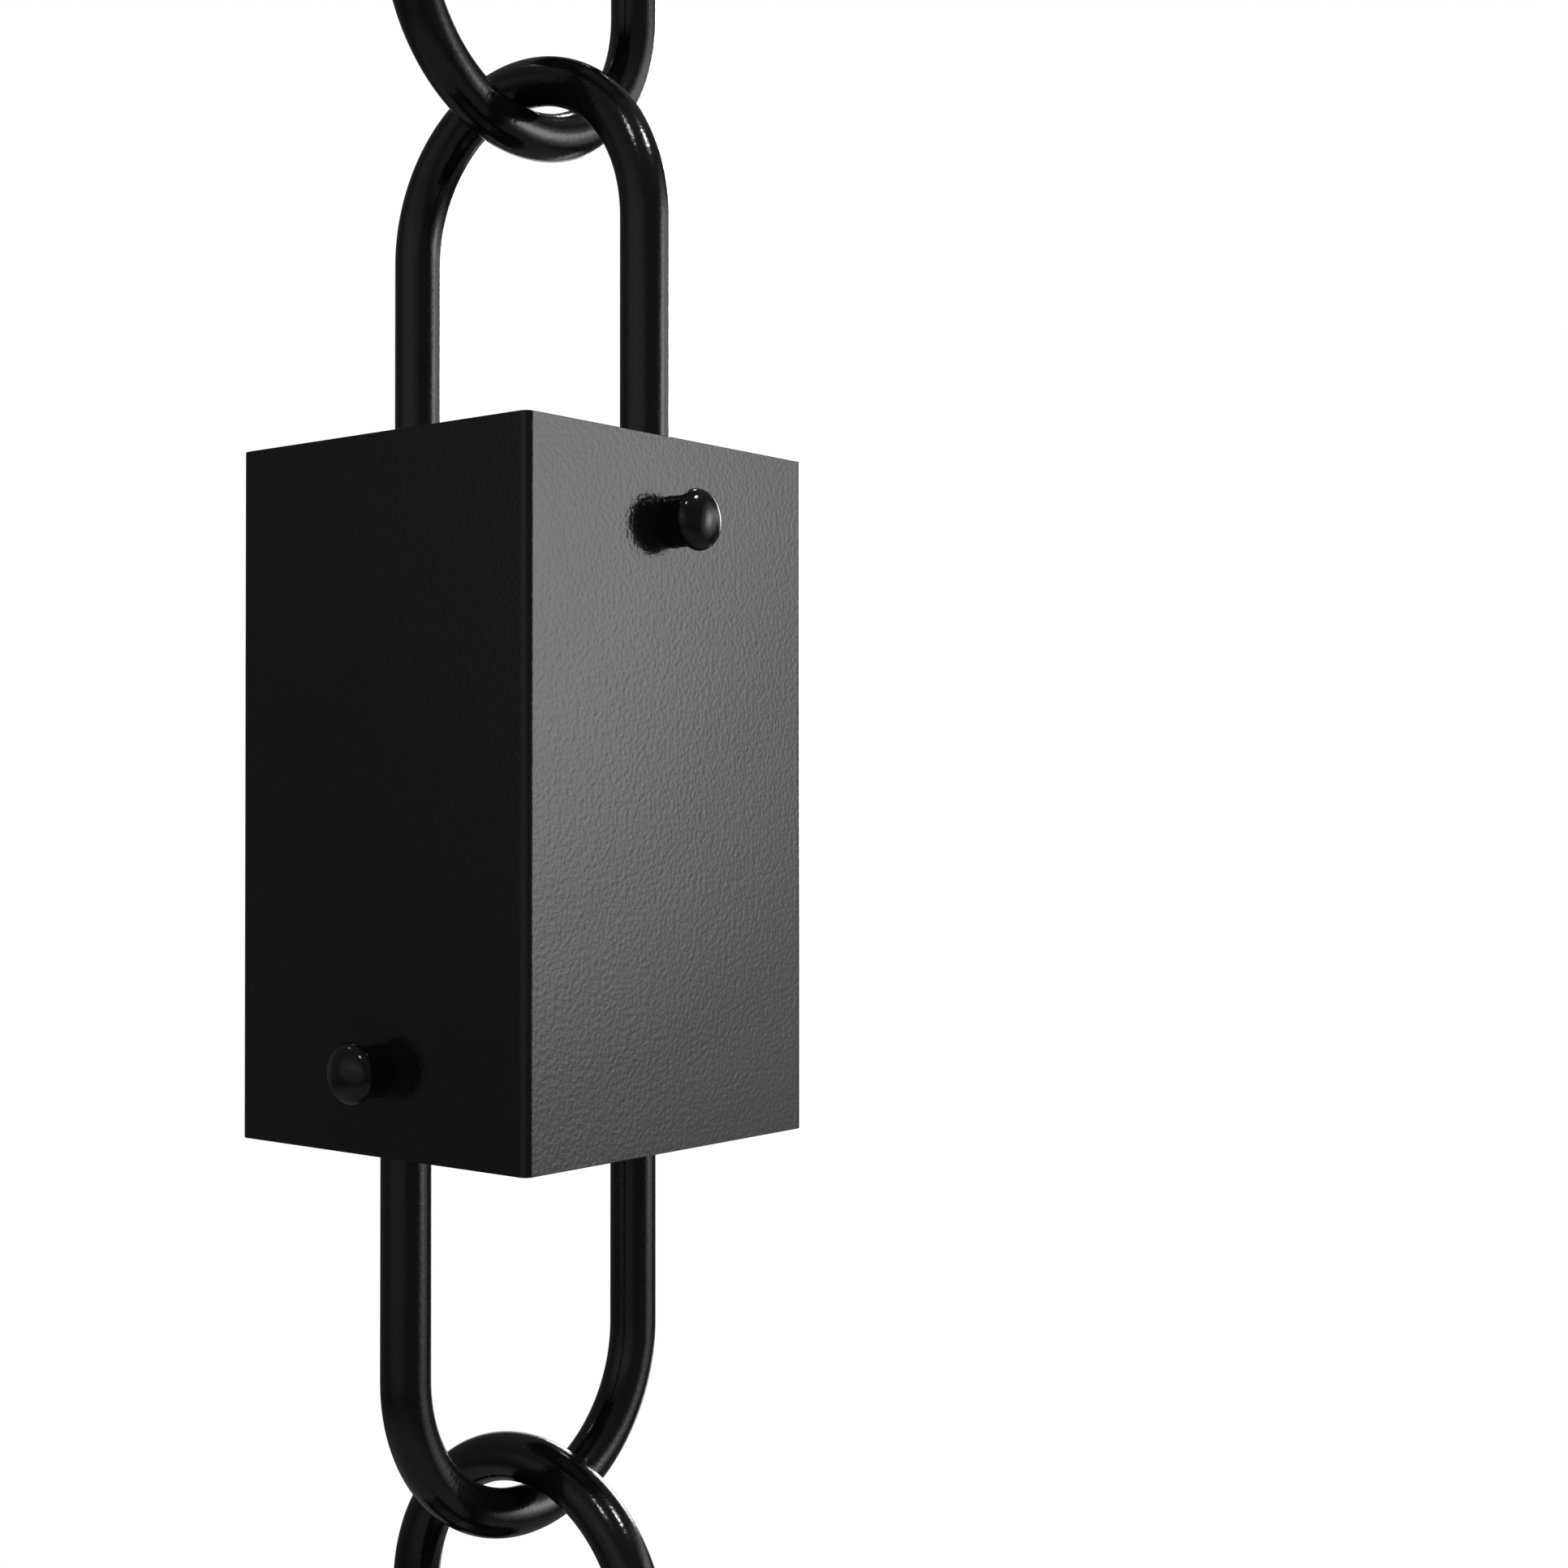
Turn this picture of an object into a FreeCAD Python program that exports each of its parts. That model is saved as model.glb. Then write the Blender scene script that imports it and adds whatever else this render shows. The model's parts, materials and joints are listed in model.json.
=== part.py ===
import FreeCAD, Part
import math
import os
import Sketcher
from FreeCAD import Rotation, Vector

# A rain chain: open square cups hung one below the next, which lead water down from a gutter.
# Each cup is a short length of square tube. A bail, a U of round rod, pivots in its top end, and another,
# a quarter turn round, pivots in its bottom end. The bottom bail of one cup carries the top bail of the next.
# A bail has two dome-headed shoulder pins. The shoulder turns in the cup's wall, with the head clear of it,
# and the thin tip is fixed in a cross hole through the bail's leg.
# Millimetres, +Z up. The origin is the hanging point, the inside crown of the first bail.

# Sizes that can be set by themselves.
SIZES = {
    "cup_count": 5,
    "cup_width": 50.2,  # square tube, across its outside
    "cup_height": 86.0,
    "cup_wall": 1.5,
    "corner_radius": 1.1,  # outside corners of the tube
    "rim_chamfer": 0.1,  # broken edge of the sawn rims
    "rod_diameter": 6.1,
    "leg_tail": 6.0,  # rod past the pin, inside the cup
    "wall_gap": 0.3,  # between a leg and the cup's wall
    "chain_pitch": 175.0,  # from one cup to the next
    "link_gap": 0.3,  # between two hooked rods
    "pin_setback": 10.2,  # from a rim to the pins' axis
    "shoulder_diameter": 6.3,
    "running_clearance": 0.05,  # all round a shoulder in its hole
    "stand_off": 2.9,  # from the cup's face to the back of a pin's head
    "head_diameter": 7.5,
    "dome_height": 2.3,  # from a head's widest circle to its top
    "rim_rounding": 1.7,  # between a head's widest circle and its dome
    "tip_diameter": 3.0,
    "tip_clearance": 0.05,  # all round a tip in its cross hole
    "seat_depth": 0.6,  # flat that the shoulder stops against, cut into the leg
}

# Sizes that follow from those above. Heights are from the cup's centre, and distances from its axis.
DERIVED = {
    "inside_width": "=cup_width - 2 * cup_wall",
    "pin_hole": "=shoulder_diameter + 2 * running_clearance",
    "pin_height": "=cup_height / 2 - pin_setback",
    "leg_offset": "=(inside_width - rod_diameter) / 2 - wall_gap",
    "crown_height": "=(chain_pitch + rod_diameter + link_gap) / 2",
    "bend_height": "=crown_height - leg_offset",
    "leg_end": "=pin_height - leg_tail",
    "tip_hole": "=tip_diameter + 2 * tip_clearance",
    "tip_end": "=leg_offset - rod_diameter / 2",
    "pin_seat": "=leg_offset + rod_diameter / 2 - seat_depth",
    "head_back": "=cup_width / 2 + stand_off",
    "head_widest": "=head_back + (head_diameter - shoulder_diameter) / 2",
    "head_top": "=head_widest + dome_height",
    "first_cup": "=rod_diameter / 2 - crown_height",
}

# Turns a bail and its pins from a cup's top end to its bottom end: upside down and a quarter turn round.
TO_LOWER_END = Rotation(Vector(1, 1, 0), 180)
HALF_TURN = Rotation(Vector(0, 0, 1), 180)

# Places on a sketch: its axes and origin, and the start, end and centre of a line or arc.
ORIGIN = (-1, 1)
H_AXIS, V_AXIS = range(-1, -3, -1)
START, END, CENTRE = range(1, 4)

doc = FreeCAD.newDocument("rain_chain")


def make_sheet():
    """Writes the sizes and what follows from them into a sheet, each with its alias."""
    sheet = doc.addObject("Spreadsheet::Sheet", "sizes")
    for row, (alias, value) in enumerate({**SIZES, **DERIVED}.items(), start=1):
        sheet.set(f"A{row}", alias)
        sheet.set(f"B{row}", str(value))
        sheet.setAlias(f"B{row}", alias)
    doc.recompute()
    return sheet


sizes = make_sheet()


def new_sketch(body, name, role, offset=None):
    """A sketch on one of the body's own origin planes, moved along its normal by an expression."""
    sketch = body.newObject("Sketcher::SketchObject", name)
    plane = next(p for p in body.Origin.OriginFeatures if p.Role == role)
    sketch.AttachmentSupport = (plane, [""])
    sketch.MapMode = "FlatFace"
    if offset:
        sketch.setExpression("AttachmentOffset.Base.z", offset)
    return sketch


def measure(sketch, expression, kind, *where):
    """Adds a dimension, starting from the drawn value, and binds it to an expression."""
    index = sketch.addConstraint(Sketcher.Constraint(kind, *where))
    sketch.setExpression(f"Constraints[{index}]", expression)


def fix(sketch, kind, *where):
    """Adds a constraint that has no value."""
    sketch.addConstraint(Sketcher.Constraint(kind, *where))


def draw_square(sketch, alias):
    """A square about the sketch's origin, its side bound to a cell."""
    side = getattr(sizes, alias)
    corners = [Vector(x * side / 2, y * side / 2, 0) for x, y in ((-1, -1), (1, -1), (1, 1), (-1, 1))]
    lines = [sketch.addGeometry(Part.LineSegment(corners[i], corners[(i + 1) % 4])) for i in range(4)]
    for i, line in enumerate(lines):
        fix(sketch, "Coincident", line, END, lines[(i + 1) % 4], START)
        fix(sketch, ("Horizontal", "Vertical")[i % 2], line)
    fix(sketch, "Symmetric", lines[0], START, lines[2], START, *ORIGIN)
    bound = f"sizes.{alias}"
    measure(sketch, bound, "DistanceX", lines[0], START, lines[0], END, side)
    measure(sketch, bound, "DistanceY", lines[1], START, lines[1], END, side)


def draw_circle(sketch, alias, height, side=1):
    """A circle on the sketch's vertical axis, above its origin, or below it where side is -1."""
    up = getattr(sizes, height)
    diameter = getattr(sizes, alias)
    circle = sketch.addGeometry(Part.Circle(Vector(0, side * up, 0), Vector(0, 0, 1), diameter / 2))
    fix(sketch, "PointOnObject", circle, CENTRE, V_AXIS)
    ends = ORIGIN + (circle, CENTRE) if side > 0 else (circle, CENTRE) + ORIGIN
    measure(sketch, f"sizes.{height}", "DistanceY", *ends, up)
    measure(sketch, f"sizes.{alias}", "Diameter", circle, diameter)


def cut(body, name, sketch, sides="Symmetric", outwards=False):
    """A pocket right through, both ways or only along the sketch's normal or against it."""
    pocket = body.newObject("PartDesign::Pocket", name)
    pocket.Profile = sketch
    pocket.Type = "ThroughAll"
    pocket.SideType = sides
    pocket.Reversed = outwards
    doc.recompute()
    return pocket


def dress(body, kind, name, base, wanted, prop, expression):
    """A fillet or chamfer on the edges of the last feature that pass a test."""
    edges = [f"Edge{i}" for i, edge in enumerate(base.Shape.Edges, start=1) if wanted(edge)]
    feature = body.newObject(f"PartDesign::{kind}", name)
    feature.Base = (base, edges)
    feature.setExpression(prop, expression)
    doc.recompute()
    return feature


def make_cup(name):
    """A length of square tube with a pair of pin holes near each rim, the lower pair a quarter turn round."""
    body = doc.addObject("PartDesign::Body", name)
    outside = new_sketch(body, f"{name}_outside", "XY_Plane")
    draw_square(outside, "cup_width")
    tube = body.newObject("PartDesign::Pad", f"{name}_tube")
    tube.Profile = outside
    tube.SideType = "Symmetric"
    tube.setExpression("Length", "sizes.cup_height")
    doc.recompute()

    def upright(edge):
        return edge.BoundBox.ZLength > sizes.cup_height / 2

    dress(body, "Fillet", f"{name}_corners", tube, upright, "Radius", "sizes.corner_radius")
    inside = new_sketch(body, f"{name}_inside", "XY_Plane")
    draw_square(inside, "inside_width")
    bore = cut(body, f"{name}_bore", inside)

    def on_rim(edge):
        box = edge.BoundBox
        return box.ZLength < sizes.rim_chamfer and abs(box.ZMax) > sizes.pin_height

    dress(body, "Chamfer", f"{name}_rims", bore, on_rim, "Size", "sizes.rim_chamfer")
    for end, plane, side in (("upper", "YZ_Plane", 1), ("lower", "XZ_Plane", -1)):
        holes = new_sketch(body, f"{name}_{end}_pin_circle", plane)
        draw_circle(holes, "pin_hole", "pin_height", side)
        cut(body, f"{name}_{end}_pin_holes", holes)
    return body


def draw_bail_path(sketch):
    """The rod's centre line: up one leg, round the bend and down the other leg."""
    leg = sizes.leg_offset
    low = sizes.leg_end
    high = sizes.bend_height
    left = sketch.addGeometry(Part.LineSegment(Vector(-leg, low, 0), Vector(-leg, high, 0)))
    crown = Vector(0, high + leg, 0)
    bend = sketch.addGeometry(Part.Arc(Vector(leg, high, 0), crown, Vector(-leg, high, 0)))
    right = sketch.addGeometry(Part.LineSegment(Vector(leg, high, 0), Vector(leg, low, 0)))
    fix(sketch, "Tangent", left, END, bend, END)
    fix(sketch, "Tangent", bend, START, right, START)
    fix(sketch, "Vertical", left)
    fix(sketch, "Vertical", right)
    fix(sketch, "PointOnObject", bend, CENTRE, V_AXIS)
    fix(sketch, "Horizontal", left, START, right, END)
    measure(sketch, "sizes.leg_offset", "Radius", bend, leg)
    measure(sketch, "sizes.bend_height", "DistanceY", *ORIGIN, bend, CENTRE, high)
    measure(sketch, "sizes.leg_end", "DistanceY", *ORIGIN, left, START, low)


def make_bail(name):
    """A U of round rod. Each leg has a cross hole for a pin's tip and a flat for its shoulder."""
    body = doc.addObject("PartDesign::Body", name)
    path = new_sketch(body, f"{name}_path", "XZ_Plane")
    draw_bail_path(path)
    section = new_sketch(body, f"{name}_section", "XY_Plane", "sizes.leg_end")
    centre = Vector(-sizes.leg_offset, 0, 0)
    ring = section.addGeometry(Part.Circle(centre, Vector(0, 0, 1), sizes.rod_diameter / 2))
    fix(section, "PointOnObject", ring, CENTRE, H_AXIS)
    measure(section, "sizes.leg_offset", "DistanceX", ring, CENTRE, *ORIGIN, sizes.leg_offset)
    measure(section, "sizes.rod_diameter", "Diameter", ring, sizes.rod_diameter)
    rod = body.newObject("PartDesign::AdditivePipe", f"{name}_rod")
    rod.Profile = section
    rod.Spine = path
    doc.recompute()
    tips = new_sketch(body, f"{name}_tip_circle", "YZ_Plane")
    draw_circle(tips, "tip_hole", "pin_height")
    cut(body, f"{name}_tip_holes", tips)
    for side, sign, outwards in (("right", "", True), ("left", "-", False)):
        seat = new_sketch(body, f"{name}_{side}_seat_circle", "YZ_Plane", f"{sign}sizes.pin_seat")
        draw_circle(seat, "pin_hole", "pin_height")
        cut(body, f"{name}_{side}_seat", seat, "One side", outwards)
    return body


def draw_pin_profile(sketch):
    """Half of the pin's section, from the tip's end out to the domed head, above the pin's own axis."""
    tip = sizes.tip_diameter / 2
    shoulder = sizes.shoulder_diameter / 2
    head = sizes.head_diameter / 2
    height = sizes.dome_height
    rounding = sizes.rim_rounding
    points = [
        Vector(sizes.tip_end, 0, 0),
        Vector(sizes.tip_end, tip, 0),
        Vector(sizes.pin_seat, tip, 0),
        Vector(sizes.pin_seat, shoulder, 0),
        Vector(sizes.head_back, shoulder, 0),
        Vector(sizes.head_widest, head, 0),
    ]
    top = Vector(sizes.head_top, 0, 0)
    across = Vector(0, 0, 1)
    rim_centre = points[-1] - Vector(0, rounding, 0)
    dome_radius = (rim_centre.y**2 + height**2 - rounding**2) / (2 * (height - rounding))
    dome_centre = top - Vector(dome_radius, 0, 0)
    lean = math.atan2(rim_centre.y, rim_centre.x - dome_centre.x)
    lines = [sketch.addGeometry(Part.LineSegment(a, b)) for a, b in zip(points, points[1:])]
    rim = sketch.addGeometry(Part.ArcOfCircle(Part.Circle(rim_centre, across, rounding), lean, math.pi / 2))
    dome = sketch.addGeometry(Part.ArcOfCircle(Part.Circle(dome_centre, across, dome_radius), 0, lean))
    axis = sketch.addGeometry(Part.LineSegment(top, points[0]))
    taper = lines.pop()
    for i, line in enumerate(lines):
        fix(sketch, ("Vertical", "Horizontal")[i % 2], line)
        if i:
            fix(sketch, "Coincident", lines[i - 1], END, line, START)
    fix(sketch, "Coincident", lines[-1], END, taper, START)
    fix(sketch, "Coincident", taper, END, rim, END)
    fix(sketch, "Vertical", rim, CENTRE, rim, END)
    fix(sketch, "Tangent", rim, START, dome, END)
    fix(sketch, "Coincident", dome, START, axis, START)
    fix(sketch, "Coincident", axis, END, lines[0], START)
    for point in ((axis, START), (axis, END), (dome, CENTRE)):
        fix(sketch, "PointOnObject", *point, H_AXIS)
    measure(sketch, "sizes.tip_end", "DistanceX", *ORIGIN, lines[0], START, sizes.tip_end)
    measure(sketch, "sizes.tip_diameter / 2", "DistanceY", *ORIGIN, lines[0], END, tip)
    measure(sketch, "sizes.pin_seat", "DistanceX", *ORIGIN, lines[1], END, sizes.pin_seat)
    measure(sketch, "sizes.shoulder_diameter / 2", "DistanceY", *ORIGIN, lines[2], END, shoulder)
    measure(sketch, "sizes.head_back", "DistanceX", *ORIGIN, lines[3], END, sizes.head_back)
    measure(sketch, "sizes.head_widest", "DistanceX", *ORIGIN, taper, END, sizes.head_widest)
    measure(sketch, "sizes.head_diameter / 2", "DistanceY", *ORIGIN, taper, END, head)
    measure(sketch, "sizes.rim_rounding", "Radius", rim, rounding)
    measure(sketch, "sizes.head_top", "DistanceX", *ORIGIN, axis, START, sizes.head_top)


def make_pin(name):
    """A dome-headed shoulder pin, turned about its own axis at its distance from the cup's axis."""
    body = doc.addObject("PartDesign::Body", name)
    profile = new_sketch(body, f"{name}_profile", "XZ_Plane")
    draw_pin_profile(profile)
    turned = body.newObject("PartDesign::Revolution", f"{name}_turned")
    turned.Profile = profile
    turned.ReferenceAxis = (profile, ["H_Axis"])
    turned.Angle = 360
    doc.recompute()
    return body


def place(body, height, rotation=Rotation()):
    """Turns a sub-part about the chain's axis and binds its height to the sheet."""
    body.Placement.Rotation = rotation
    body.setExpression("Placement.Base.z", height)


def make_unit(number):
    """One cup with its two bails and their pins."""
    centre = f"sizes.first_cup - {number - 1} * sizes.chain_pitch"
    cup = make_cup(f"cup_{number}")
    place(cup, centre)
    made = [cup]
    ends = (
        ("upper", Rotation(), "+", ("right", "left")),
        ("lower", TO_LOWER_END, "-", ("back", "front")),
    )
    for end, turn, sign, sides in ends:
        bail = make_bail(f"{end}_bail_{number}")
        place(bail, centre, turn)
        made.append(bail)
        for side, half in zip(sides, (Rotation(), HALF_TURN)):
            pin = make_pin(f"{end}_pin_{side}_{number}")
            place(pin, f"{centre} {sign} sizes.pin_height", turn * half)
            made.append(pin)
    return made


def check(parts):
    """Stops if a feature failed, a cut removed nothing or a sub-part isn't one sound solid."""
    for item in doc.Objects:
        if "Invalid" in item.State or "Error" in item.State:
            raise RuntimeError(f"{item.Label} failed: {item.State}")
        if item.TypeId == "PartDesign::Pocket" and item.Shape.Volume >= item.BaseFeature.Shape.Volume:
            raise RuntimeError(f"{item.Label} cuts nothing")
    for part in parts:
        if part.Shape.isNull() or not part.Shape.isValid() or len(part.Shape.Solids) != 1:
            raise RuntimeError(f"{part.Label} isn't one sound solid")


parts = [part for number in range(1, int(sizes.cup_count) + 1) for part in make_unit(number)]
doc.recompute()
check(parts)
os.makedirs("parts", exist_ok=True)
for part in parts:
    part.Shape.exportStep(f"parts/{part.Label}.step")
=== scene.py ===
import json
import math
import bmesh
import bpy
from mathutils import Matrix, Quaternion, Vector


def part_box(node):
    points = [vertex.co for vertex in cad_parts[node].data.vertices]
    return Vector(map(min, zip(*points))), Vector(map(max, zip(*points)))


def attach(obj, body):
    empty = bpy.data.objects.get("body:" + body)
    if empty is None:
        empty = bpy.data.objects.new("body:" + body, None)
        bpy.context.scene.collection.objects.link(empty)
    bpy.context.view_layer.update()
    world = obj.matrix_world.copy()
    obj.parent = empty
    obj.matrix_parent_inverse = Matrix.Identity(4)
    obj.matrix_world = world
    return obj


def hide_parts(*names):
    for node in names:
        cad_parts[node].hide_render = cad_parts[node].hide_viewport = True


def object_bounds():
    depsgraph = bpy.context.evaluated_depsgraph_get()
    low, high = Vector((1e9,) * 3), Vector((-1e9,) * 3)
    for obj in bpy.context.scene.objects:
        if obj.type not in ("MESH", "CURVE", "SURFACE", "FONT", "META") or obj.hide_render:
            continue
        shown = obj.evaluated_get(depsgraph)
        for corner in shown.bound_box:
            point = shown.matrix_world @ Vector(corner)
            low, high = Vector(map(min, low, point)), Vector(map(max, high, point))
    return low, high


# A black powder-coated rain chain in a plain white studio. Every CAD solid is a smooth piece of the same form
# here: square cups of tube, U-shaped bails of round rod and the dome-headed pins that the bails swing on.
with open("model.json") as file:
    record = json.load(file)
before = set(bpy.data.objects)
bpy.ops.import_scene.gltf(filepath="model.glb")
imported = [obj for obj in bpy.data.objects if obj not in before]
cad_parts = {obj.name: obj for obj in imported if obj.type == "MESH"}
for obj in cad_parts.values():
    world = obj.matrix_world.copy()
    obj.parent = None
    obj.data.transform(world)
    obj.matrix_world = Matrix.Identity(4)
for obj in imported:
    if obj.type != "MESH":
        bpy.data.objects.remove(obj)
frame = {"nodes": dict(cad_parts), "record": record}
cad_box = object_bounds()
scene = bpy.context.scene
MM = 0.001

# Sizes that the frame's boxes don't give, as in the part's source.
CUP_WALL = 1.5 * MM
CORNER_RADIUS = 1.1 * MM
RIM_CHAMFER = 0.1 * MM
SHOULDER_DIAMETER = 6.3 * MM
PIN_HOLE_DIAMETER = 6.4 * MM
TIP_DIAMETER = 3.0 * MM
TIP_HOLE_DIAMETER = 3.1 * MM
SEAT_DEPTH = 0.6 * MM
STAND_OFF = 2.9 * MM
DOME_HEIGHT = 2.3 * MM
RIM_ROUNDING = 1.7 * MM

# The pins' broken edges, which are in the scene alone.
PIN_EDGE = 0.15 * MM

# Sizes read from the frame, for a unit with its cup's centre at the origin and its upper bail in plane XZ.
cup_low, cup_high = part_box("cup_1")
bail_low, bail_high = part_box("upper_bail_1")
pin_low, pin_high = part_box("upper_pin_right_1")
cup_count = sum(node.startswith("cup_") for node in frame["nodes"])
middle_cup = (cup_count + 1) // 2
cup_centre = (cup_low + cup_high) / 2
cup_width, _, cup_height = cup_high - cup_low
rod_radius = (bail_high.y - bail_low.y) / 2
leg_offset = (bail_high.x - bail_low.x) / 2 - rod_radius
leg_end = bail_low.z - cup_centre.z
bend_height = bail_high.z - cup_centre.z - rod_radius - leg_offset
pin_height = (pin_low.z + pin_high.z) / 2 - cup_centre.z
head_radius = (pin_high.z - pin_low.z) / 2
tip_end = pin_low.x
head_top = pin_high.x
pin_seat = leg_offset + rod_radius - SEAT_DEPTH
head_back = cup_width / 2 + STAND_OFF

# The body that each node rides on.
body_of = {node: body for body, nodes in frame["record"]["behaviour"]["bodies"].items() for node in nodes}

# How finely round forms are divided, which edges count as sharp and how near points count as one.
ROD_SIDES = 48
BEND_STEPS = 64
PIN_SIDES = 64
HOLE_SIDES = 48
FLOOR_SIDES = 96
CORNER_STEPS = 8
RIM_STEPS = 2
DOME_STEPS = 12
ROUNDING_STEPS = 10
PIN_EDGE_STEPS = 3
ARC_PROFILE = 0.5
SHARP_ANGLE = math.radians(28)
RIM_ANGLE = math.radians(60)
RIM_TOLERANCE = 0.01 * MM
MERGE_DISTANCE = 0.0015 * MM

# Turns for the pieces of a unit. TO_LOWER_END takes a bail and its pins from a cup's top end to its bottom
# end: upside down and a quarter turn round. ENDS has each end's name, its turn and the sides of its pins.
UPRIGHT = Matrix.Identity(4)
TO_LOWER_END = Matrix.Rotation(math.pi, 4, Vector((1, 1, 0)))
HALF_TURN = Matrix.Rotation(math.pi, 4, "Z")
ALONG_X = Matrix.Rotation(math.pi / 2, 4, "Y")
ALONG_Y = Matrix.Rotation(math.pi / 2, 4, "X")
ENDS = (("upper", UPRIGHT, ("right", "left")), ("lower", TO_LOWER_END, ("back", "front")))

# The coat: width of the clouds in its shade and gloss, detail of the clouds and of the peel, and how it
# bends light.
CLOUD_WIDTH = 8 * MM
CLOUD_DETAIL = 3.0
PEEL_DETAIL = 1.0
COAT_IOR = 1.5

# The camera: a close look at the middle cup, from its near corner, almost level.
VIEW_AZIMUTH = math.radians(38.375)
VIEW_PITCH = math.radians(0.471)
LENS = 51.51
SENSOR = 36.0
CAMERA_DEPTH = 285.8 * MM
CAMERA_SIDE = 32.85 * MM
CAMERA_DROP = 1.007 * MM
NEAREST_SEEN = 10 * MM
low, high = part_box(f"cup_{middle_cup}")
target = (low + high) / 2
forward = Vector((-math.sin(VIEW_AZIMUTH), math.cos(VIEW_AZIMUTH), 0))
right = Vector((math.cos(VIEW_AZIMUTH), math.sin(VIEW_AZIMUTH), 0))

# The lamps, as seen from the middle cup. Each line has a name, then in degrees the azimuth, elevation, width,
# height and lean, then the radiance, and last the share of the half width over which the lamp dims towards
# its edge.
LAMPS = (
    ("key_panel", 40.6, 4.5, 31, 41.5, -19, 2.42, 1.0),
    ("key_spill", 46.2, 3.7, 66, 77, -45, 1.08, 1.0),
    ("side_panel", 78.8, 11.7, 110, 26, -7, 0.62, 1.0),
    ("back_strip", 112, 12.5, 36, 34, 0, 5.0, 0.3),
    ("low_strip", 106, -22, 36, 14, 0, 0.8, 0.6),
    ("top_right", 27, 54, 14, 12, 0, 30.0, 0.6),
    ("top_left", -57, 54, 10, 12, 0, 15.0, 0.6),
    ("top_back", 121, 53, 9, 9, 0, 12.0, 0.6),
    ("top_far_left", -150, 53, 7, 7, 0, 8.0, 0.6),
    ("left_panel", -87.4, 6.9, 110, 69, -10, 0.10, 0.5),
    ("left_core", -87.1, 12.3, 88, 33, -6, 0.13, 1.0),
)
LAMP_DISTANCE = 2.5

# Watts for one square metre of an area lamp with a radiance of 1.
LAMP_WATTS = 4

# The room that reflections show. A span is of a direction's forward or upward part, from -1 to 1, and its
# levels are the radiances, or for WALL_SHARES the factors, at the two ends of that span.
BACKDROP_SPAN = (math.cos(math.radians(22)), math.cos(math.radians(12)))
BACKDROP_LEVELS = (0.0, 1.0)
WALL_FORWARD_SPAN = (-0.6, 0.4)
WALL_LEVELS = (0.10, 0.08)
WALL_UPWARD_SPAN = (-0.5, -0.1)
WALL_SHARES = (0.3, 1.0)
BELOW_SPAN = (-0.6, -0.36)
BELOW_LEVELS = (0.15, 0.0)
ABOVE_SPAN = (0.45, 0.75)
ABOVE_LEVELS = (0.0, 0.05)

# The even light that dull surfaces get from the room.
ROOM_LIGHT = 0.5

# The floor under the chain, and how much it glows for the camera at its rim and in its middle.
FLOOR_DROP = 60 * MM
FLOOR_RADIUS = 0.6
FLOOR_COLOUR = "#E8E8E8"
FLOOR_GLOW = (0.45, 0.22)

# Plain white, and the whole span of a share.
WHITE = "#FFFFFF"
UNIT_SPAN = (0.0, 1.0)


def linear(hex_colour):
    """Linear RGBA from an sRGB hex value."""
    levels = [int(hex_colour[i : i + 2], 16) / 255 for i in (1, 3, 5)]
    return [v / 12.92 if v <= 0.04045 else ((v + 0.055) / 1.055) ** 2.4 for v in levels] + [1.0]


def empty_tree(owner):
    """The node tree of a material, lamp or world, with nothing in it."""
    owner.use_nodes = True
    owner.node_tree.nodes.clear()
    return owner.node_tree


def add_node(tree, kind, inputs=None, **settings):
    """Adds a node with its settings, and fills its inputs with values or with other nodes' outputs."""
    node = tree.nodes.new(kind)
    for name, value in settings.items():
        setattr(node, name, value)
    for socket, value in (inputs or {}).items():
        if isinstance(value, bpy.types.NodeSocket):
            tree.links.new(value, node.inputs[socket])
        else:
            node.inputs[socket].default_value = value
    return node


def ramp(tree, value, span, levels, curve="LINEAR"):
    """Carries a span of a value over to a span of levels."""
    ends = dict(zip(("From Min", "From Max", "To Min", "To Max"), (*span, *levels)))
    node = add_node(tree, "ShaderNodeMapRange", {"Value": value, **ends}, interpolation_type=curve)
    return node.outputs["Result"]


def maths(tree, operation, a, b):
    """What an operation makes of two values."""
    return add_node(tree, "ShaderNodeMath", {0: a, 1: b}, operation=operation).outputs["Value"]


def blend(tree, share, a, b):
    """Mixes two values: a share of 0 gives the first and a share of 1 the second."""
    return add_node(tree, "ShaderNodeMix", {0: share, "A": a, "B": b}, data_type="FLOAT").outputs["Result"]


def nearness(tree, place):
    """1 at the origin, and less outwards to 0 at a distance of 1."""
    node = add_node(tree, "ShaderNodeTexGradient", {"Vector": place}, gradient_type="SPHERICAL")
    return node.outputs["Fac"]


def only(kind, geometry):
    """The elements of one kind among what an operator made."""
    return [item for item in geometry if isinstance(item, kind)]


def as_mesh(bm, name):
    """Ends a bmesh: normals point outwards, and the result is a mesh."""
    bmesh.ops.recalc_face_normals(bm, faces=bm.faces)
    mesh = bpy.data.meshes.new(name)
    bm.to_mesh(mesh)
    bm.free()
    return mesh


def bevel(bm, edges, offset, steps):
    """Rounds edges off."""
    bmesh.ops.bevel(
        bm, geom=edges, offset=offset, affect="EDGES", segments=steps, profile=ARC_PROFILE, material=-1
    )


def block(width, height):
    """A block with a square section, centred on the origin."""
    bm = bmesh.new()
    bmesh.ops.create_cube(bm, size=1)
    bmesh.ops.scale(bm, vec=(width, width, height), verts=bm.verts)
    return bm


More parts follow.
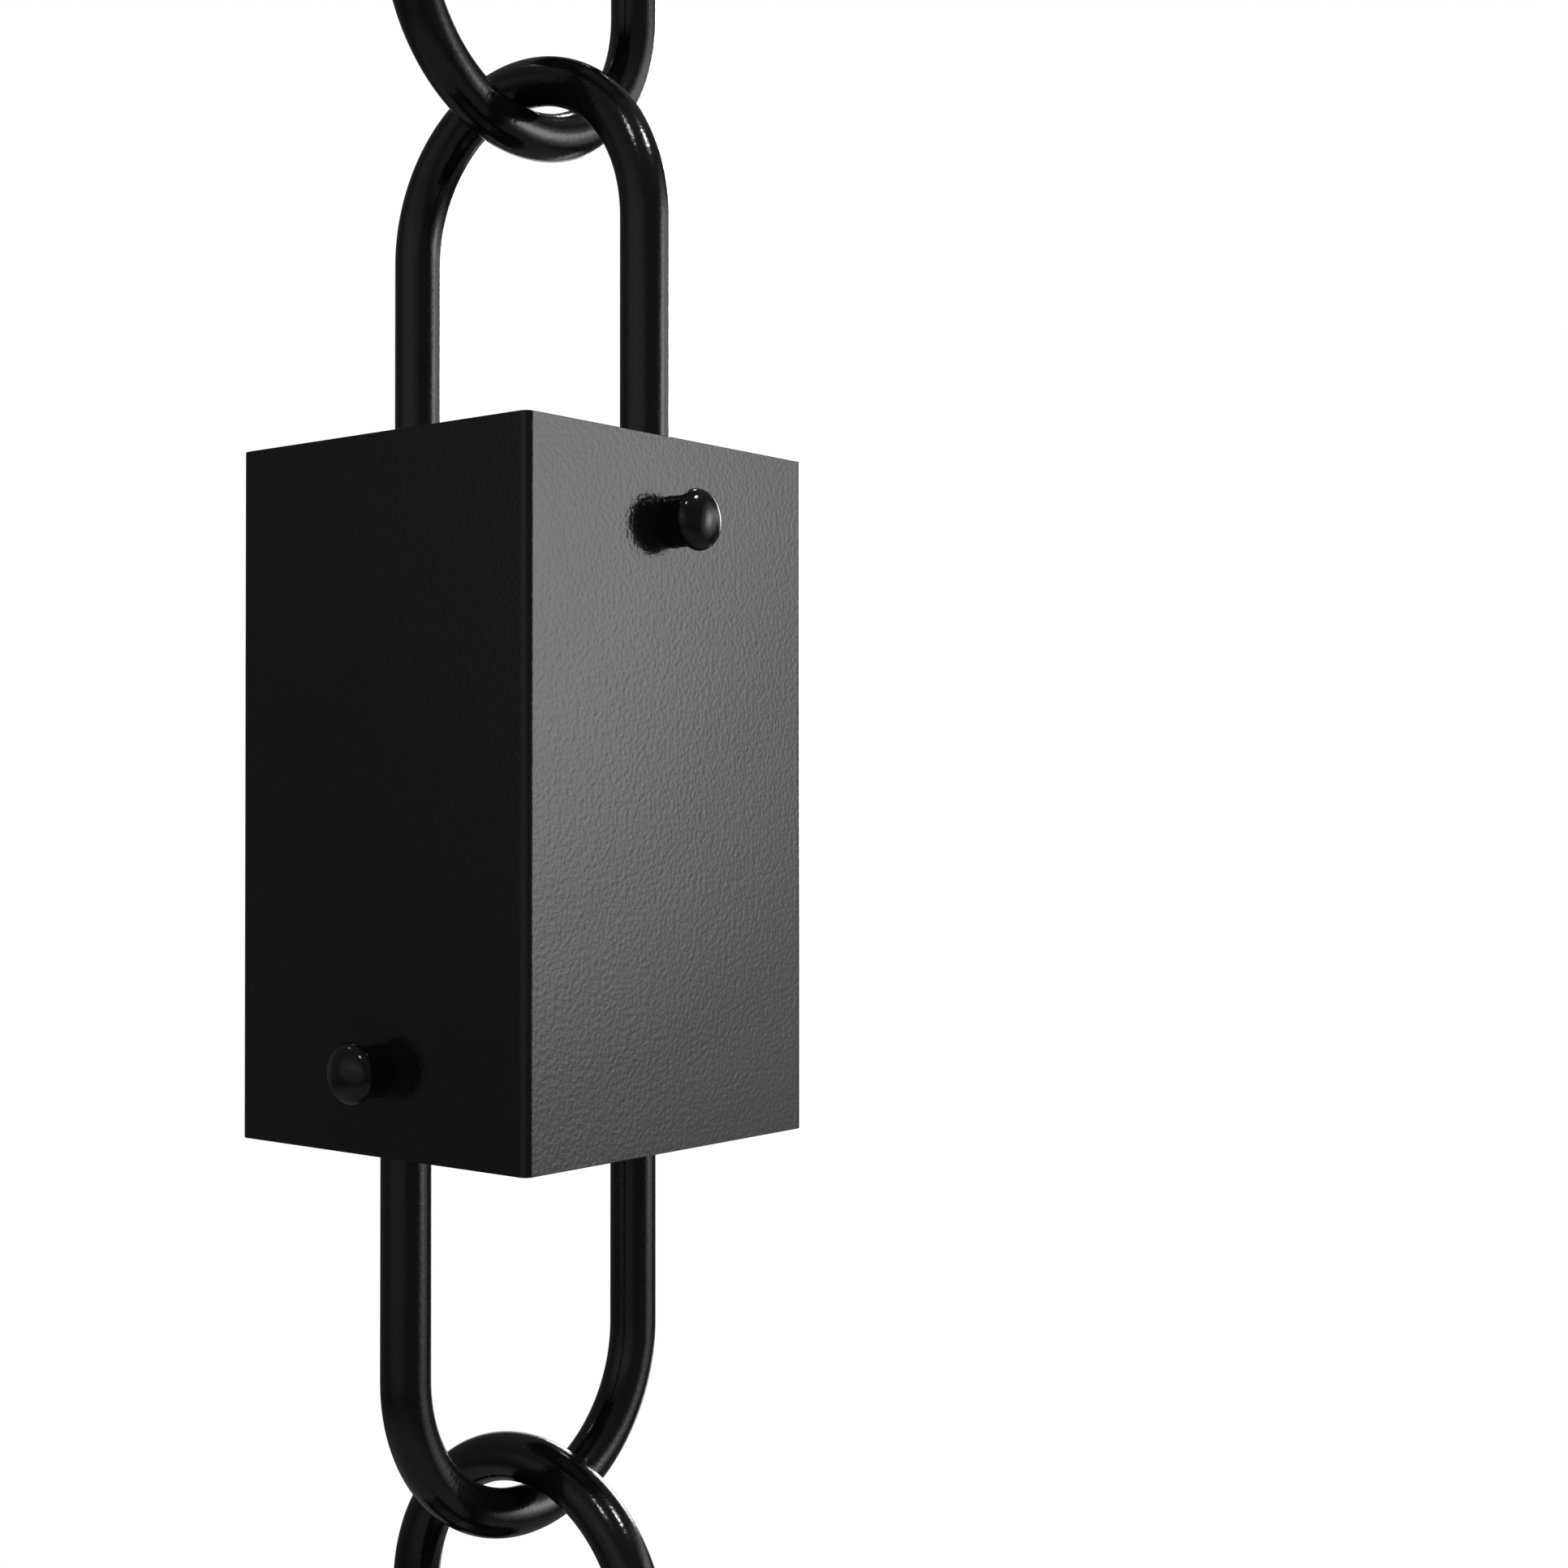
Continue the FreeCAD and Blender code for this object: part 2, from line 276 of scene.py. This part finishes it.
def cut(mesh, cutter):
    """What is left of one closed mesh when another is taken away."""
    objects = [bpy.data.objects.new(data.name, data) for data in (mesh, cutter)]
    for item in objects:
        scene.collection.objects.link(item)
    boolean = objects[0].modifiers.new("cut", "BOOLEAN")
    boolean.object = objects[1]
    boolean.operation = "DIFFERENCE"
    boolean.solver = "EXACT"
    graph = bpy.context.evaluated_depsgraph_get()
    result = bpy.data.meshes.new_from_object(objects[0].evaluated_get(graph))
    for item in objects:
        bpy.data.objects.remove(item)
    return result


def drills(name, diameter, *runs):
    """Round cutters: each run is a matrix with the cutter's middle and direction, and its length."""
    bm = bmesh.new()
    for where, length in runs:
        bmesh.ops.create_cone(
            bm,
            cap_ends=True,
            segments=HOLE_SIDES,
            radius1=diameter / 2,
            radius2=diameter / 2,
            depth=length,
            matrix=where,
        )
    return as_mesh(bm, name)


def cup_shape():
    """A length of square tube with rounded corners, broken rims and a pair of pin holes near each rim."""
    outside = block(cup_width, cup_height)
    upright = [edge for edge in outside.edges if edge.calc_length() > (cup_width + cup_height) / 2]
    bevel(outside, upright, CORNER_RADIUS, CORNER_STEPS)
    bore = block(cup_width - 2 * CUP_WALL, cup_height + 2 * CUP_WALL)
    tube = cut(as_mesh(outside, "cup_block"), as_mesh(bore, "cup_bore"))

    bm = bmesh.new()
    bm.from_mesh(tube)
    rims = [
        edge
        for edge in bm.edges
        if all(abs(abs(vert.co.z) - cup_height / 2) < RIM_TOLERANCE for vert in edge.verts)
        and edge.calc_face_angle(0) > RIM_ANGLE
    ]
    bevel(bm, rims, RIM_CHAMFER, RIM_STEPS)
    through = 2 * cup_width
    holes = drills(
        "cup_holes",
        PIN_HOLE_DIAMETER,
        (Matrix.Translation((0, 0, pin_height)) @ ALONG_X, through),
        (Matrix.Translation((0, 0, -pin_height)) @ ALONG_Y, through),
    )
    return cut(as_mesh(bm, "cup_tube"), holes)


def grow(bm, loop, rise):
    """Extrudes a loop of edges straight up or down and gives the new loop."""
    made = bmesh.ops.extrude_edge_only(bm, edges=loop)["geom"]
    verts = only(bmesh.types.BMVert, made)
    bmesh.ops.translate(bm, vec=(0, 0, rise), verts=verts)
    return [edge for edge in only(bmesh.types.BMEdge, made) if all(vert in verts for vert in edge.verts)]


def bail_shape():
    """A U of round rod. Each leg has a cross hole for a pin's tip and a flat for its shoulder."""
    # Loops at the cup's rim and below the bend keep the drilled end of a leg apart from the rest.
    rises = [cup_height / 2 - leg_end, bend_height - cup_height / 2 - rod_radius, rod_radius]
    bm = bmesh.new()
    foot = Matrix.Translation((-leg_offset, 0, leg_end))
    bmesh.ops.create_circle(bm, cap_ends=True, segments=ROD_SIDES, radius=rod_radius, matrix=foot)
    loop = list(bm.edges)
    for rise in rises:
        loop = grow(bm, loop, rise)
    spun = bmesh.ops.spin(
        bm, geom=loop, cent=(0, 0, bend_height), axis=(0, 1, 0), angle=math.pi, steps=BEND_STEPS
    )
    loop = only(bmesh.types.BMEdge, spun["geom_last"])
    for rise in reversed(rises):
        loop = grow(bm, loop, -rise)
    bmesh.ops.edgeloop_fill(bm, edges=loop)
    rod = as_mesh(bm, "bail_rod")
    level = Matrix.Translation((0, 0, pin_height)) @ ALONG_X
    tips = drills("bail_tip_holes", TIP_HOLE_DIAMETER, (level, 2 * cup_width))
    reach = cup_width / 2
    sides = [Matrix.Translation((side * (pin_seat + reach / 2), 0, 0)) @ level for side in (-1, 1)]
    seats = drills("bail_seats", PIN_HOLE_DIAMETER, *((side, reach) for side in sides))
    return cut(cut(rod, tips), seats)


def pin_shape():
    """A turned shoulder pin along +X: dome, rounded rim, tapered back of the head, shoulder and thin tip."""
    shoulder = SHOULDER_DIAMETER / 2
    rim = head_radius - RIM_ROUNDING
    dome_radius = (rim**2 + DOME_HEIGHT**2 - RIM_ROUNDING**2) / (2 * (DOME_HEIGHT - RIM_ROUNDING))
    lean = math.atan2(rim, dome_radius - DOME_HEIGHT)
    bm = bmesh.new()
    last = bm.verts.new((head_top, 0, 0))
    arcs = (
        ((head_top - dome_radius, 0, 0), lean, DOME_STEPS),
        ((head_top - DOME_HEIGHT, 0, rim), math.pi / 2 - lean, ROUNDING_STEPS),
    )
    for centre, turn, steps in arcs:
        spun = bmesh.ops.spin(bm, geom=[last], cent=centre, axis=(0, -1, 0), angle=turn, steps=steps)
        last = only(bmesh.types.BMVert, spun["geom_last"])[0]
    corners = (
        (head_back, 0, shoulder),
        (pin_seat, 0, shoulder),
        (pin_seat, 0, TIP_DIAMETER / 2),
        (tip_end, 0, TIP_DIAMETER / 2),
        (tip_end, 0, 0),
    )
    for corner in corners:
        made = bmesh.ops.extrude_vert_indiv(bm, verts=[last])
        last = made["verts"][0]
        last.co = corner
    section = bm.verts[:] + bm.edges[:]
    full_turn = 2 * math.pi
    bmesh.ops.spin(
        bm, geom=section, cent=(0, 0, 0), axis=(1, 0, 0), angle=full_turn, steps=PIN_SIDES, use_merge=True
    )
    bmesh.ops.remove_doubles(bm, verts=bm.verts, dist=MERGE_DISTANCE)
    bmesh.ops.recalc_face_normals(bm, faces=bm.faces)
    sharp = [edge for edge in bm.edges if edge.calc_face_angle(0) > SHARP_ANGLE]
    bevel(bm, sharp, PIN_EDGE, PIN_EDGE_STEPS)
    bmesh.ops.translate(bm, vec=(0, 0, pin_height), verts=bm.verts)
    return as_mesh(bm, "pin")


def powder_coat(name, deep, pale, gloss, peel, depth):
    """Black polyester powder coat, sprayed on and baked. It flows out to a soft orange peel, so a lamp's
    reflection breaks into small ripples, with a slight change of shade and gloss from place to place. Takes
    the deepest and palest shade, the least and most roughness, and the peel's width and depth."""
    material = bpy.data.materials.new(name)
    tree = empty_tree(material)
    place = add_node(tree, "ShaderNodeTexCoord").outputs["Object"]
    cloud = add_node(
        tree, "ShaderNodeTexNoise", {"Vector": place, "Scale": 1 / CLOUD_WIDTH, "Detail": CLOUD_DETAIL}
    ).outputs["Fac"]
    shades = {"A": linear(deep), "B": linear(pale)}
    shade = add_node(tree, "ShaderNodeMix", {0: cloud, **shades}, data_type="RGBA").outputs["Result"]
    rough = ramp(tree, cloud, UNIT_SPAN, gloss)
    ripple = add_node(
        tree, "ShaderNodeTexNoise", {"Vector": place, "Scale": 1 / peel, "Detail": PEEL_DETAIL}
    ).outputs["Fac"]
    bump = add_node(tree, "ShaderNodeBump", {"Height": ripple, "Strength": 1.0, "Distance": depth})
    coat = add_node(
        tree,
        "ShaderNodeBsdfPrincipled",
        {"Base Color": shade, "Roughness": rough, "Normal": bump.outputs["Normal"], "IOR": COAT_IOR},
    )
    add_node(tree, "ShaderNodeOutputMaterial", {"Surface": coat.outputs["BSDF"]})
    return material


def dress(node, shape, where, material):
    """Puts a smooth copy of a shape in the place of a CAD node, on the node's body."""
    mesh = shape.copy()
    mesh.name = f"{node}_coated"
    mesh.transform(where)
    mesh.materials.clear()
    mesh.materials.append(material)
    mesh.polygons.foreach_set("use_smooth", [True] * len(mesh.polygons))
    mesh.set_sharp_from_angle(angle=SHARP_ANGLE)
    piece = bpy.data.objects.new(mesh.name, mesh)
    scene.collection.objects.link(piece)
    flats = piece.modifiers.new("flats", "WEIGHTED_NORMAL")
    flats.keep_sharp = True
    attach(piece, body_of[node])
    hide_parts(node)


def add_camera():
    """The photograph's view."""
    data = bpy.data.cameras.new("camera")
    data.lens = LENS
    data.sensor_width = SENSOR
    data.clip_start = NEAREST_SEEN
    camera = bpy.data.objects.new("camera", data)
    camera.location = target - forward * CAMERA_DEPTH + right * CAMERA_SIDE - Vector((0, 0, CAMERA_DROP))
    camera.rotation_euler = (math.pi / 2 + VIEW_PITCH, 0, VIEW_AZIMUTH)
    scene.collection.objects.link(camera)
    scene.camera = camera


def add_lamp(name, azimuth, elevation, width, height, lean, radiance, fade):
    """A soft panel aimed at the middle cup, brightest in its middle. LAMPS says what the values mean."""
    around, up = math.radians(azimuth), math.radians(elevation)
    out = Vector((math.cos(around) * math.cos(up), math.sin(around) * math.cos(up), math.sin(up)))
    data = bpy.data.lights.new(name, "AREA")
    data.shape = "RECTANGLE"
    data.size = 2 * LAMP_DISTANCE * math.tan(math.radians(width / 2))
    data.size_y = 2 * LAMP_DISTANCE * math.tan(math.radians(height / 2))
    data.energy = LAMP_WATTS * data.size * data.size_y * radiance
    tree = empty_tree(data)
    place = add_node(tree, "ShaderNodeNewGeometry").outputs["Parametric"]
    centred = add_node(
        tree, "ShaderNodeVectorMath", {0: place, 1: (2, 2, 0), 2: (-1, -1, 0)}, operation="MULTIPLY_ADD"
    ).outputs["Vector"]
    glow = ramp(tree, nearness(tree, centred), (0.0, fade), UNIT_SPAN, "SMOOTHSTEP")
    emission = add_node(tree, "ShaderNodeEmission", {"Strength": glow})
    add_node(tree, "ShaderNodeOutputLight", {"Surface": emission.outputs["Emission"]})
    lamp = bpy.data.objects.new(name, data)
    lamp.location = target + out * LAMP_DISTANCE
    leaning = out.to_track_quat("Z", "Y") @ Quaternion((0, 0, 1), math.radians(lean))
    lamp.rotation_euler = leaning.to_euler()
    lamp.visible_camera = False
    scene.collection.objects.link(lamp)


def add_world():
    """White behind the chain for the camera and for reflections, and a dim room in every other direction. Its
    walls darken downwards, and its floor and ceiling are a little paler."""
    world = bpy.data.worlds.new("studio")
    scene.world = world
    tree = empty_tree(world)
    towards = add_node(tree, "ShaderNodeTexCoord").outputs["Generated"]
    ahead = add_node(
        tree, "ShaderNodeVectorMath", {0: towards, 1: forward}, operation="DOT_PRODUCT"
    ).outputs["Value"]
    upwards = add_node(tree, "ShaderNodeSeparateXYZ", {"Vector": towards}).outputs["Z"]
    backdrop = ramp(tree, ahead, BACKDROP_SPAN, BACKDROP_LEVELS)
    facing = ramp(tree, ahead, WALL_FORWARD_SPAN, WALL_LEVELS)
    walls = maths(tree, "MULTIPLY", facing, ramp(tree, upwards, WALL_UPWARD_SPAN, WALL_SHARES))
    below = ramp(tree, upwards, BELOW_SPAN, BELOW_LEVELS)
    above = ramp(tree, upwards, ABOVE_SPAN, ABOVE_LEVELS)
    room = maths(tree, "ADD", walls, maths(tree, "ADD", below, above))
    ray = add_node(tree, "ShaderNodeLightPath").outputs
    mirrored = maths(tree, "MAXIMUM", ray["Is Glossy Ray"], ray["Is Transmission Ray"])
    seen = maths(tree, "MAXIMUM", ray["Is Camera Ray"], maths(tree, "MULTIPLY", mirrored, backdrop))
    strength = blend(tree, seen, blend(tree, mirrored, ROOM_LIGHT, room), 1.0)
    background = add_node(tree, "ShaderNodeBackground", {"Color": linear(WHITE), "Strength": strength})
    add_node(tree, "ShaderNodeOutputWorld", {"Surface": background.outputs["Background"]})


def add_floor():
    """A pale floor a little below the chain. It glows for the camera, most of all towards its rim, so it
    merges with the white backdrop and still shows the chain's soft shadow. From below it is clear."""
    bm = bmesh.new()
    bmesh.ops.create_circle(bm, cap_ends=True, segments=FLOOR_SIDES, radius=FLOOR_RADIUS)
    mesh = as_mesh(bm, "floor")
    floor = bpy.data.objects.new("floor", mesh)
    floor.location = (0, 0, cad_box[0].z - FLOOR_DROP)
    scene.collection.objects.link(floor)
    material = bpy.data.materials.new("matt_white_board")
    tree = empty_tree(material)
    place = add_node(tree, "ShaderNodeTexCoord").outputs["Object"]
    scaled = add_node(
        tree, "ShaderNodeVectorMath", {0: place, "Scale": 1 / FLOOR_RADIUS}, operation="SCALE"
    ).outputs["Vector"]
    outwards = ramp(tree, nearness(tree, scaled), UNIT_SPAN, FLOOR_GLOW)
    ray = add_node(tree, "ShaderNodeLightPath").outputs
    strength = maths(tree, "MULTIPLY", outwards, ray["Is Camera Ray"])
    glow = add_node(tree, "ShaderNodeEmission", {"Color": linear(WHITE), "Strength": strength})
    board = add_node(tree, "ShaderNodeBsdfDiffuse", {"Color": linear(FLOOR_COLOUR)})
    both = add_node(tree, "ShaderNodeAddShader", {0: board.outputs["BSDF"], 1: glow.outputs["Emission"]})
    to_eye = add_node(tree, "ShaderNodeNewGeometry").outputs["Incoming"]
    rise = add_node(tree, "ShaderNodeSeparateXYZ", {"Vector": to_eye}).outputs["Z"]
    from_above = maths(tree, "GREATER_THAN", rise, 0.0)
    clear = add_node(tree, "ShaderNodeBsdfTransparent").outputs["BSDF"]
    one_way = add_node(tree, "ShaderNodeMixShader", {0: from_above, 1: clear, 2: both.outputs["Shader"]})
    add_node(tree, "ShaderNodeOutputMaterial", {"Surface": one_way.outputs["Shader"]})
    mesh.materials.append(material)
    floor.visible_glossy = False


# The cups' coat is thick and shows its peel, the rods' is thinner and the small pins' is the glossiest.
cup_coat = powder_coat("powder_coat_on_tube", "#080808", "#0C0C0C", (0.13, 0.17), 0.6 * MM, 0.035 * MM)
rod_coat = powder_coat("powder_coat_on_rod", "#080808", "#0B0B0B", (0.13, 0.16), 0.55 * MM, 0.023 * MM)
pin_coat = powder_coat("powder_coat_on_pin", "#070707", "#0A0A0A", (0.08, 0.11), 0.9 * MM, 0.004 * MM)

# Each unit is a cup with a bail and two pins at its top end and at its bottom end.
cup = cup_shape()
bail = bail_shape()
pin = pin_shape()
for number in range(1, cup_count + 1):
    low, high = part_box(f"cup_{number}")
    centre = Matrix.Translation((low + high) / 2)
    dress(f"cup_{number}", cup, centre, cup_coat)
    for end, turn, sides in ENDS:
        dress(f"{end}_bail_{number}", bail, centre @ turn, rod_coat)
        for side, half in zip(sides, (UPRIGHT, HALF_TURN)):
            dress(f"{end}_pin_{side}_{number}", pin, centre @ turn @ half, pin_coat)

scene.view_settings.view_transform = "Standard"
add_camera()
add_world()
add_floor()
for lamp_values in LAMPS:
    add_lamp(*lamp_values)
